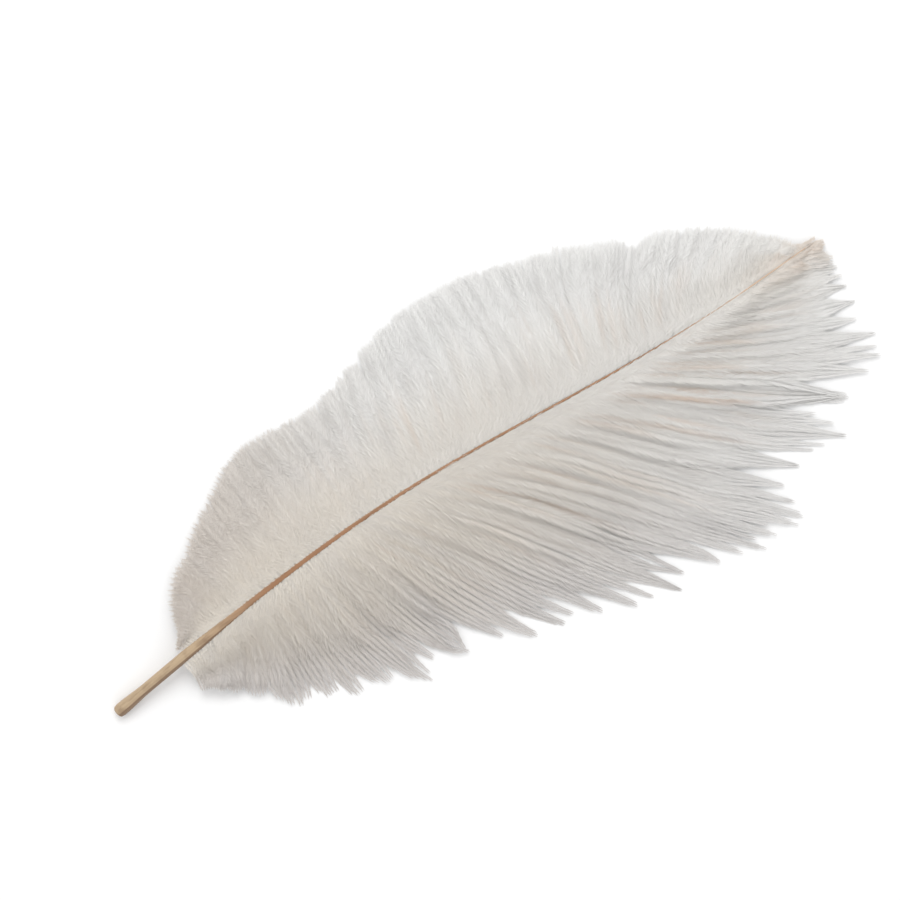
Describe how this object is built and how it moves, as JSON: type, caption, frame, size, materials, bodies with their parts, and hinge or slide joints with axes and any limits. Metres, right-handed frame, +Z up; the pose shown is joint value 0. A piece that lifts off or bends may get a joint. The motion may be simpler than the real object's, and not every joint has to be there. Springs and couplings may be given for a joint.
{
  "type": "ostrich feather",
  "caption": "Soft ostrich plume lying flat: a slender curved shaft with a bare quill, and a broad vane of long loose barbs on each side, ragged along one edge.",
  "frame": {"origin": "on the surface the feather lies on, under the middle of its bounding box", "axes": "+X from the quill's end to the tip, +Y towards the left vane seen from above, +Z up, out of the feather's upper side"},
  "size_m": [0.3069, 0.1427, 0.0163],
  "materials": {
    "shaft": "satin tan horn",
    "left_vane": "soft off-white down",
    "right_vane": "soft cream down"
  },
  "bodies": {
    "root": {"shaft": "shaft", "left_vane": "left_vane", "right_vane": "right_vane"}
  },
  "joints": []
}
